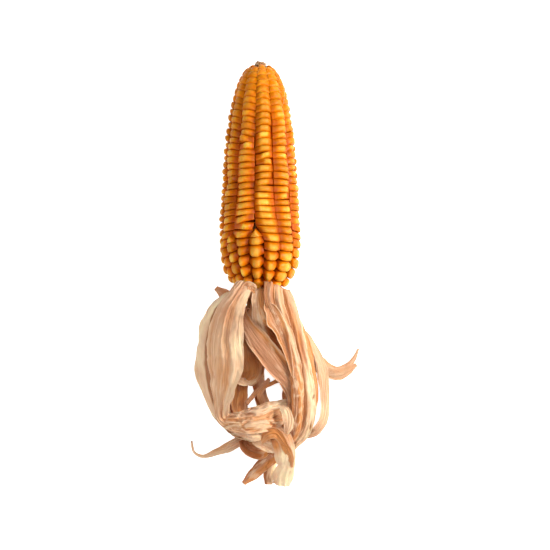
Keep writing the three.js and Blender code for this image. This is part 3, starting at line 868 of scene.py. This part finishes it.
def make_leaf(name, route, seed, fold=0, tone=0.2, widen=1.15, pleats=2, pleat=0.6, curl=0.1,
              crumple=0.35, ragged=0.07, cup=0.12, knot=99, knotted=1.1, under=None, hollow=99, slant=0,
              later=None):
    """One husk leaf, carried along its route as the solids have it, with a dry leaf's relief on top.

    Across the leaf v runs from -1 to 1. The surface stands out from the route by cup w (1 - v^2), by
    pleats, by crumpling (layered noise) and by its edges, which roll by curl w ((|v| - 0.7) / 0.3)^2.
    From route point knot on the leaf is strongly creased, and a little everywhere. The edges wander by
    the ragged share of the width. Where the leaf folds down, at route point fold, its top slopes by
    slant. Tone is the leaf's colour, plain or in pairs across it, and later is a change of tone, with
    the t where it starts and ends. Under is the v where painted shade of the leaf above starts and
    ends, and hollow the t where painted shade in a hollow starts. Creases get painted shade, and folds
    and edges a painted highlight. The sheet is closed by a back grid one thickness behind it and a rim.
    """
    route = np.array(route, float)
    last = len(route) - 1
    t = np.linspace(0, 1, last * ROWS_PER_POINT + 1)
    centre, across, out = leaf_frame(route, fold, t)
    width = route_values(route[:, 3], t)[:, None] * widen
    run = np.concatenate([[0], np.cumsum(np.linalg.norm(np.diff(centre, axis=0), axis=1))])[:, None]
    t = t[:, None]
    point = t * last
    v = np.linspace(-1, 1, LEAF_COLUMNS)[None, :]
    side = np.where(v < 0, 3, 11)

    # The relief: how far the surface stands out of the route.
    full = smooth(width / 8) * smooth(point / 1.5)
    tied = 0.15 + 0.85 * smooth((point - knot) / 1.2)
    wave = pleat_wave(v, run, pleats, seed)
    folded = 1.5 * pleat * wave * full * (1 - 0.5 * tied)
    rumple = crumple * rough_noise(run / 6, v * width / 7 + 30, seed + 7) * full
    creased = tied * full * crease_wave(v * width, run, seed)
    rolled = np.clip((np.abs(v) - 0.7) / 0.3, 0, 1) ** 2
    roll_by = curl * width * (0.4 + noise(run / 16, side, seed + 8))
    cupped = across_values(cup, t) * width * (1 - v**2)
    lift = cupped + folded + rumple + knotted * creased + rolled * roll_by

    # The surface, with its edges drawn in where they roll and its top sloped where it folds.
    edge = 1 + ragged * rough_noise(run / 7, side + seed, seed)
    bell = np.exp(-(((point - fold) / 1.1) ** 2))
    drawn_in = 1 - 0.25 * rolled * np.abs(roll_by) / np.maximum(width, 1)
    reach = v * width / 2 * edge * drawn_in * (1 - 0.06 * bell)
    surface = centre[:, None] + across[:, None] * reach[..., None] + out[:, None] * lift[..., None]
    surface[..., 1] -= bell * (slant * v + 0.8 * v * v)
    down, right = np.gradient(surface, axis=0), np.gradient(surface, axis=1)
    normal = unit(np.cross(right, down))
    normal *= np.sign(np.sum(normal * out[:, None], -1, keepdims=True)) + 1e-9
    half = normal * LEAF_THICKNESS / 2

    # The colour: painted shade in valleys, in hollows and under the leaf above, a painted highlight on
    # crests and edges, and the leaf's own tone.
    height = wave * (1 - tied) + 1.3 * creased
    painted_shade = np.clip((-0.18 - height) * 1.5, 0, 1) * full
    if under:
        painted_shade = painted_shade + smooth((v - under[0]) / (under[1] - under[0]))
    painted_shade = painted_shade + smooth((t - hollow) / 0.05) * (1 - v**2)
    edge_highlight = smooth((np.abs(v) - 0.9) / 0.08)
    painted_highlight = np.clip(np.clip(height - 0.6, 0, 0.4) * 2 * full + 0.7 * edge_highlight, 0, 1)
    tones = across_values(tone, v) + 0.35 * rough_noise(run / 18, v * 1.3 + 5, seed + 9)
    if later:
        change, start, end = later
        tones = tones + change * smooth((t - start) / (end - start))
    marks = {"tone": tones, "painted_highlight": painted_highlight, "painted_shade": painted_shade}
    marks = {key: np.stack([value, value]) for key, value in marks.items()}
    # The back side is marked inner, where the material paints shade in orange-brown.
    marks["inner"] = np.stack([np.zeros_like(painted_shade), np.ones_like(painted_shade)])
    uv = np.stack(np.broadcast_arrays((v + 1) / 2 + 0.37 * seed, run / 60), -1)
    return new_piece(name.replace("husk", "leaf"), place(np.stack([surface + half, surface - half])),
                     sheet_faces(len(run), LEAF_COLUMNS), HUSK, [name] if name in LEAVES else [], "husk",
                     marks, uv=np.stack([uv, uv]))


# The leaves, as the solids have them. A point of a route is x, y and z, the leaf's width there and its
# roll about the route in degrees.
LEAVES = {
    "husk_front_left": dict(
        fold=3, tone=((-1, 0.1), (-0.3, 0.1), (0.3, 0.3), (0.45, -0.45), (0.85, -0.5), (1, 0.1)),
        widen=1.06, pleats=3, pleat=0.6, crumple=0.4, ragged=0.03, knot=8.6, knotted=2.2, slant=-1.5,
        later=(0.35, 0.62, 0.68), seed=1,
        route=[
            (-5.6, -7.5, 35.2, 4.5, 0), (-7.6, -5.5, 41, 8, 0), (-9, 1.5, 47.2, 10, 5),
            (-12, -3, 48.5, 13, 12), (-17, -14, 44.5, 18, 26), (-19.5, -29, 40, 21.5, 30),
            (-19.5, -44, 35, 22.5, 30), (-20.5, -57, 29, 17, 30), (-22, -68, 23, 10, 25),
            (-22, -77, 19, 6, 0), (-14, -78.5, 21.5, 11, -10), (-4, -77.5, 24.5, 15, -5),
            (6, -74.5, 23.5, 15, 10), (14, -70.5, 18.5, 12, 30), (18, -70.5, 11, 8, 45),
        ],
    ),
    "husk_outer_left": dict(
        fold=2, tone=-0.5, pleat=0.3, under=(0.04, 0.2), knot=6.5, seed=2,
        route=[
            (-9.3, -8, 29.5, 4.5, 60), (-16, -4.5, 33, 9, 60), (-25, -13, 30.5, 15, 55),
            (-29.5, -28, 25.5, 19, 55), (-31, -43, 21.5, 19, 56), (-29.5, -57, 17, 16, 55),
            (-26.5, -69, 12.5, 10, 40), (-20, -78.5, 11, 6, 10), (-12, -83.5, 13, 8, 0),
            (-4, -85, 14.5, 9, 0), (3, -85.5, 13.5, 7, 0),
        ],
    ),
    "husk_inner_left": dict(
        fold=1, tone=0.75, widen=1.25, seed=3,
        route=[
            (-3, -9.6, 37, 4, 0), (-3.4, -15, 37.4, 7, 0), (-5, -22, 36.6, 11, 0), (-6, -30, 33, 14, 0),
            (-5.5, -40, 27.5, 15, -10), (-5, -49, 23, 12, -20), (-8, -56, 20, 8, -10),
        ],
    ),
    "husk_inner_strip": dict(
        fold=1, tone=0.7, widen=1.2, seed=4,
        route=[
            (-8, -15, 33, 4, 15), (-12, -23, 30, 10, 15), (-13.5, -32, 24, 13, 20),
            (-13.5, -45, 18, 13, 22), (-12.5, -58, 14.5, 11, 18), (-12, -69, 11.5, 8, 10),
            (-9, -77, 9.5, 5, 0),
        ],
    ),
    "husk_diagonal": dict(
        fold=2, tone=((-1, 2.2), (0.2, 2.2), (0.5, 1.6), (0.85, 0.4), (1, 0.6)), widen=1.15, pleat=0.6,
        curl=0.18, seed=5,
        route=[
            (-7, -12.5, 33.5, 4, -40), (-10.5, -13.5, 37.5, 5, -20), (-8, -20, 42.5, 8.5, 10),
            (0, -31.5, 43.5, 11.5, 5), (9, -43, 40, 12, 0), (16.5, -54.5, 33, 9.5, -5),
            (19.5, -67, 25.2, 6, -10), (18.5, -78, 18.8, 5, 0), (15.5, -84.5, 15, 4, 0),
        ],
    ),
    "husk_front_centre": dict(
        fold=3, tone=((-1, 0.4), (-0.4, 0.3), (0, 1.3), (1, 1.5)), widen=1.2, pleat=0.9,
        slant=1.2, hollow=0.4, knot=2.5, knotted=0.2, seed=6,
        route=[
            (1.2, -7.5, 36.2, 4.5, 0), (1, -5.8, 41, 6, 0), (0.6, -2.4, 46.2, 8, 0),
            (0.6, -9, 45.6, 9.5, 4), (3, -21, 41, 12, 0), (9, -34, 35.2, 13, -8),
            (15.5, -47, 28.5, 12, -14), (20, -59, 21.4, 9, -18), (21.5, -70, 16, 6.5, -18),
            (19.5, -81, 11.3, 5, -10), (14.5, -88, 9.5, 4, 0),
        ],
    ),
    "husk_front_right": dict(
        fold=3, tone=((-1, -0.1), (-0.8, -0.1), (-0.65, 2), (-0.15, 1.8), (0.05, 0.3), (0.5, 0), (1, 0.2)),
        pleat=1.1, slant=2.5, later=(0.9, 0.35, 0.6), under=(-0.5, -0.95), knot=3,
        knotted=0.25, seed=7,
        route=[
            (6, -8, 34.6, 4.5, -35), (7.2, -5.6, 40, 6.5, -25), (7.4, 0.8, 46.2, 10, -14),
            (8.4, -8, 49.2, 11, -6), (12.4, -20, 47.6, 9, -10), (16.6, -33, 43, 7.2, -16),
            (19.8, -46, 38, 7.2, -22), (21.2, -59, 31.5, 7.2, -26), (21.4, -71, 24.5, 7, -26),
            (20, -83, 17.5, 6.5, -20), (16, -91, 12.5, 6, -10), (11, -97.5, 8.6, 6, 0),
            (3, -103, 5, 7, 0), (-4, -109.5, 2.6, 6, 0), (-10, -115.5, 0.9, 2.5, 0),
        ],
    ),
    "husk_shoulder_right": dict(
        fold=3, tone=((-1, 0.8), (0, 0.5), (0.4, 0), (1, -0.1)), widen=1.15, pleat=1.1, slant=2.5,
        under=(-0.2, -0.5), later=(-0.7, 0.35, 0.5), knot=5, knotted=0.3, seed=8,
        route=[
            (9.3, -9.3, 30.8, 4.5, -60), (12.4, -5.8, 35.4, 7, -55), (14.2, -2.2, 40, 8.5, -45),
            (16.6, -10, 41, 10, -38), (20, -22, 38.4, 10, -38), (23, -35, 34, 9.2, -40),
            (25.6, -49, 28, 8.6, -42), (27.2, -62, 21.5, 8.6, -40), (27.6, -73, 15.4, 8.6, -36),
            (24.8, -84, 10, 7.5, -25), (18.5, -93, 6, 5.5, 0), (11, -98, 4, 5, 0),
            (6.5, -103.5, 2.6, 5, 0), (5, -110, 1.6, 5.5, 0), (4.6, -116, 0.9, 4, 0),
        ],
    ),
    "husk_band_end": dict(
        fold=1, tone=-0.3, widen=1.1, pleat=0.5, curl=0.15, knot=0, knotted=0.35, seed=16,
        route=[
            (12, -69.4, 27.6, 3, 0), (14.6, -71, 28.6, 5.5, 0), (16, -75.5, 28.6, 6, 0),
            (16.2, -80.5, 27.2, 5, 0), (15, -85, 26, 2.6, 0),
        ],
    ),
    "husk_side_right": dict(
        fold=2, tone=0.95, widen=1.1, under=(-0.1, -0.6), seed=9,
        route=[
            (9.2, -13, 27.5, 4.5, -90), (15.5, -12.5, 28, 8, -75), (22, -22, 23.5, 10.5, -65),
            (26, -36, 20.4, 10.5, -62), (29.4, -50, 15, 9, -56), (30.6, -62, 10.6, 7, -50),
            (30, -71, 8, 5.5, -45), (28.5, -80, 5.5, 5, -20), (24.5, -88, 3.6, 4, 0),
        ],
    ),
    "husk_loop_right": dict(
        fold=2, tone=-0.15, widen=1.1, seed=10,
        route=[
            (8.4, -17, 24, 4, -110), (17, -20, 18.5, 6, -70), (28, -31, 12.8, 7, -50),
            (34.6, -44, 7.4, 7.2, -42), (36.9, -57, 6, 7.2, -42), (37.7, -68, 5, 7, -42),
            (36.5, -77, 3.8, 6.5, -35), (32.5, -84.5, 2.2, 5.5, -20), (27, -87, 1, 4, 0),
        ],
    ),
    "husk_wisp_right": dict(
        fold=1, tone=0.05, widen=1.1, pleat=0.4, seed=11,
        route=[
            (6.8, -17, 21.2, 4, -60), (16.5, -25, 12.5, 7, -35), (26, -35.5, 7, 8.5, -15),
            (33.5, -44.5, 2.8, 8.5, 0), (41, -49.3, 1.3, 7, 10), (48, -48.3, 1.6, 4.5, 20),
            (54, -43.3, 2.6, 3, 30), (57.5, -36, 4.6, 1.2, 30),
        ],
    ),
    "husk_stub_left": dict(
        fold=1, tone=0.35, pleats=1, seed=12,
        route=[
            (-7.9, -13, 24.5, 4, 50), (-14, -10, 23, 7, 40), (-20, -5, 22, 7, 35),
            (-26, -0.5, 21, 3, 30),
        ],
    ),
    "husk_rear_left": dict(
        fold=1, tone=0.15, pleats=3, seed=13,
        route=[
            (-5.6, -12, 20.4, 4.5, 40), (-14, -17, 12, 11, 25), (-22, -29, 4.6, 16, 10),
            (-25, -44, 0.8, 18, 0), (-24, -60, 0.7, 14, 0), (-19, -74, 2.6, 8, 0),
            (-13, -83, 4.6, 6, 0), (-12.5, -89.5, 5, 5, 0), (-18, -93.5, 4.4, 5.5, 0),
            (-26, -97, 2.4, 3.5, 0), (-34, -99.5, 0.9, 1.8, 0), (-39, -97, 0.7, 1.2, 0),
            (-40.6, -90.5, 0.9, 1, 0),
        ],
    ),
    "husk_rear_centre": dict(
        fold=1, tone=((-1, 1.3), (-0.4, 1.2), (-0.25, 0.3), (1, 0.2)), later=(-1.6, 0.66, 0.76),
        pleat=0.4, seed=14,
        route=[
            (0, -15, 18.8, 4.5, 0), (-1, -25, 12, 9, 0), (-3, -38, 8.6, 11, 10), (-2, -50, 8, 8, 25),
            (-0.5, -60, 7.5, 7, 10), (2, -70, 7.2, 7, 0), (6, -79, 9.5, 8, 0), (9.5, -84.5, 17, 9, 0),
            (12.5, -89.5, 22, 11, 0), (14.5, -97, 20, 11, 0), (14.8, -104.5, 12, 9, 0),
            (13, -111, 5.4, 10.5, 0), (12, -116, 1.4, 9, 0),
        ],
    ),
    "husk_rear_right": dict(
        fold=1, tone=0.8, pleats=3, cup=((0, 0.12), (0.68, 0.12), (0.82, -0.3), (1, -0.35)),
        knot=6, knotted=0.6, hollow=0.76, seed=15,
        route=[
            (5.8, -12, 20.2, 4.5, -40), (11.5, -18, 12, 9, -25), (19, -30, 4.4, 13, -10),
            (21.5, -46, 0.9, 14, 0), (20, -62, 0.7, 12, 0), (16.5, -76, 1.6, 8, 0),
            (11, -86, 3.2, 7, 0), (5.5, -91.5, 6.6, 8, 0), (-1, -95.5, 9.2, 9, 0),
            (-7, -93, 10.5, 8, 0), (-10, -88.5, 9, 6, 0),
        ],
    ),
}

# Torn strips that lie on and between the leaves; the solids have none of them.
TORN = {
    "torn_across": dict(
        tone=1.8, pleats=1, pleat=0.3, curl=0.3, crumple=0.5, ragged=0.25, seed=21,
        route=[
            (5, -52.5, 25, 2.2, 10), (2, -57, 20.5, 2.8, 25), (-3, -62, 18.5, 2.2, 0),
            (-8, -68, 17, 2.6, -20),
        ],
    ),
    "torn_high": dict(
        tone=1.6, pleats=1, pleat=0.3, curl=0.3, crumple=0.4, ragged=0.25, seed=22,
        route=[
            (11.5, -52.5, 26, 2.6, 0), (7, -55.5, 24, 1.8, 20), (2.5, -58.5, 22.5, 2.6, 45),
            (0, -63, 20, 3.2, 10), (1.5, -69, 17, 2.6, 0),
        ],
    ),
    "torn_edge": dict(
        tone=-0.2, pleats=1, pleat=0.5, curl=0.4, crumple=0.8, ragged=0.3, knot=0, knotted=0.5, seed=23,
        route=[
            (-15, -50, 29.5, 3.4, 20), (-11, -54.5, 28, 4.2, -10), (-6.5, -55.5, 27, 3, 25),
            (-2.5, -54, 26.5, 2, 0),
        ],
    ),
    "torn_top": dict(
        tone=((-1, 1.6), (0.2, 1.2), (0.6, 0), (1, 0)), pleat=0.5, curl=0.1, crumple=0.7, cup=0,
        ragged=0.35, knot=0, knotted=0.7, seed=25,
        route=[
            (-9.6, 0.6, 49.4, 2.2, 0), (-7, 1.8, 49.8, 4.6, 0), (-4.6, 0, 49.4, 5, 10),
            (-3.2, -3.2, 48, 1.4, 0),
        ],
    ),
    "torn_arch": dict(
        tone=1.1, widen=1.1, pleat=0.4, curl=0.3, crumple=0.5, ragged=0.12, seed=26,
        route=[
            (1, -89.5, 21.5, 3.5, -40), (4, -85.8, 25.4, 5.5, -25), (8.2, -84.6, 27.2, 6, 0),
            (12, -87.6, 27, 5.5, 20), (15.2, -93, 25, 5, 20), (17.6, -99, 20.4, 3.4, 15),
            (18.4, -105, 13.6, 1.4, 0),
        ],
    ),
    "torn_hollow": dict(
        tone=((-1, -0.2), (-0.8, 1.4), (0.2, 2.2), (0.75, 1.5), (1, -0.3)), widen=1.1, pleat=0.35,
        curl=0.2, crumple=0.4, ragged=0.12, cup=-0.12, seed=29,
        route=[
            (3, -6.5, 50.6, 1.6, 0), (5.6, -12, 51.8, 6.5, 0), (9, -19, 51, 9, -6),
            (12.4, -27, 48.6, 7.5, -10), (15.2, -36, 45.2, 4.6, -14), (17.4, -45, 41.6, 2.4, -16),
            (18.6, -51, 39, 1, -16),
        ],
    ),
    "torn_wisp": dict(
        tone=0, pleats=1, pleat=0.4, curl=0.2, crumple=0.4, ragged=0.15, seed=30,
        route=[
            (36, -47, 3.4, 3, 0), (41, -50, 3, 6, 5), (46, -50.6, 2.6, 6.4, 10),
            (51, -48.8, 2.6, 5, 10), (56.5, -45.4, 3, 2.2, 0),
        ],
    ),
    "torn_patch": dict(
        tone=0.05, pleat=0.5, curl=0.35, crumple=0.9, ragged=0.25, knot=0, knotted=0.9, seed=28,
        route=[
            (-4, -89, 17.5, 2.5, 0), (0.5, -91.2, 19, 5, 0), (5, -93.4, 20, 5.6, 10),
            (9, -94, 20.4, 4, 10),
        ],
    ),
    "torn_below": dict(
        tone=-0.1, pleat=0.5, curl=0.4, crumple=0.9, ragged=0.2, knot=0, knotted=1, seed=27,
        route=[
            (-19, -76, 20.5, 3, 0), (-12, -82.5, 22.8, 5, 10), (-5, -86, 23.5, 5, 0),
            (0.5, -87, 23, 3.4, -10),
        ],
    ),
}


# ---------------------------------------------------------------- floor, light and camera

VIEW_WIDTH = 0.319  # how much of the object's middle plane the camera takes in
CAMERA_DISTANCE = 1.7
SENSOR = 36.0
FLOOR_HALF = 3.0
LIT_POINT = (0, 0, 0.02)  # where every light is aimed
WARM = (1.0, 0.95, 0.87)
SOFT = (1.0, 0.96, 0.9)
PALE = (1.0, 0.98, 0.94)


def make_stage():
    """A broad floor that the ear lies on."""
    corners = np.array([(-1, -1, 0), (1, -1, 0), (1, 1, 0), (-1, 1, 0)]) * FLOOR_HALF
    floor = new_piece("floor", corners + [0, 0, CAD_BOX[0].z], [(0, 1, 2, 3)], floor_material())


def make_camera():
    """A long lens straight above the middle of the object, with the ear's tip at the top of the view."""
    x, y, z = ((low + high) / 2 for low, high in zip(*CAD_BOX))
    data = bpy.data.cameras.new("camera")
    data.sensor_width = SENSOR
    data.lens = SENSOR * CAMERA_DISTANCE / VIEW_WIDTH
    camera = bpy.data.objects.new("camera", data)
    camera.location = (x, y, z + CAMERA_DISTANCE)
    bpy.context.scene.collection.objects.link(camera)
    bpy.context.scene.camera = camera


def make_light(name, place_at, size, power, colour):
    """A square soft box that faces the object."""
    data = bpy.data.lights.new(name, "AREA")
    data.size = size
    data.energy = power
    data.color = colour
    light = bpy.data.objects.new(name, data)
    light.location = place_at
    direction = np.array(LIT_POINT) - np.array(place_at)
    light.rotation_euler = Vector(direction).to_track_quat("-Z", "Y").to_euler()
    bpy.context.scene.collection.objects.link(light)


def make_lights():
    """A strong warm box from the right, weaker ones from the left and above, and a pale surround."""
    make_light("key", (0.8, 0.15, 0.6), 0.35, 14, WARM)
    make_light("fill", (-0.6, -0.6, 0.5), 0.4, 4.0, SOFT)
    make_light("top", (0.1, 0.3, 1.4), 0.5, 8.2, PALE)
    world = bpy.data.worlds.new("surround")
    world.use_nodes = True
    world.node_tree.nodes["Background"].inputs["Color"].default_value = (1, 1, 1, 1)
    world.node_tree.nodes["Background"].inputs["Strength"].default_value = 0.12
    bpy.context.scene.world = world
    bpy.context.scene.view_settings.view_transform = "Standard"


make_camera()
make_stage()
make_lights()
make_kernels()
make_core()
make_tip_chaff()
make_silk()
make_shank()
for leaf_name, leaf in (LEAVES | TORN).items():
    make_leaf(leaf_name, **leaf)
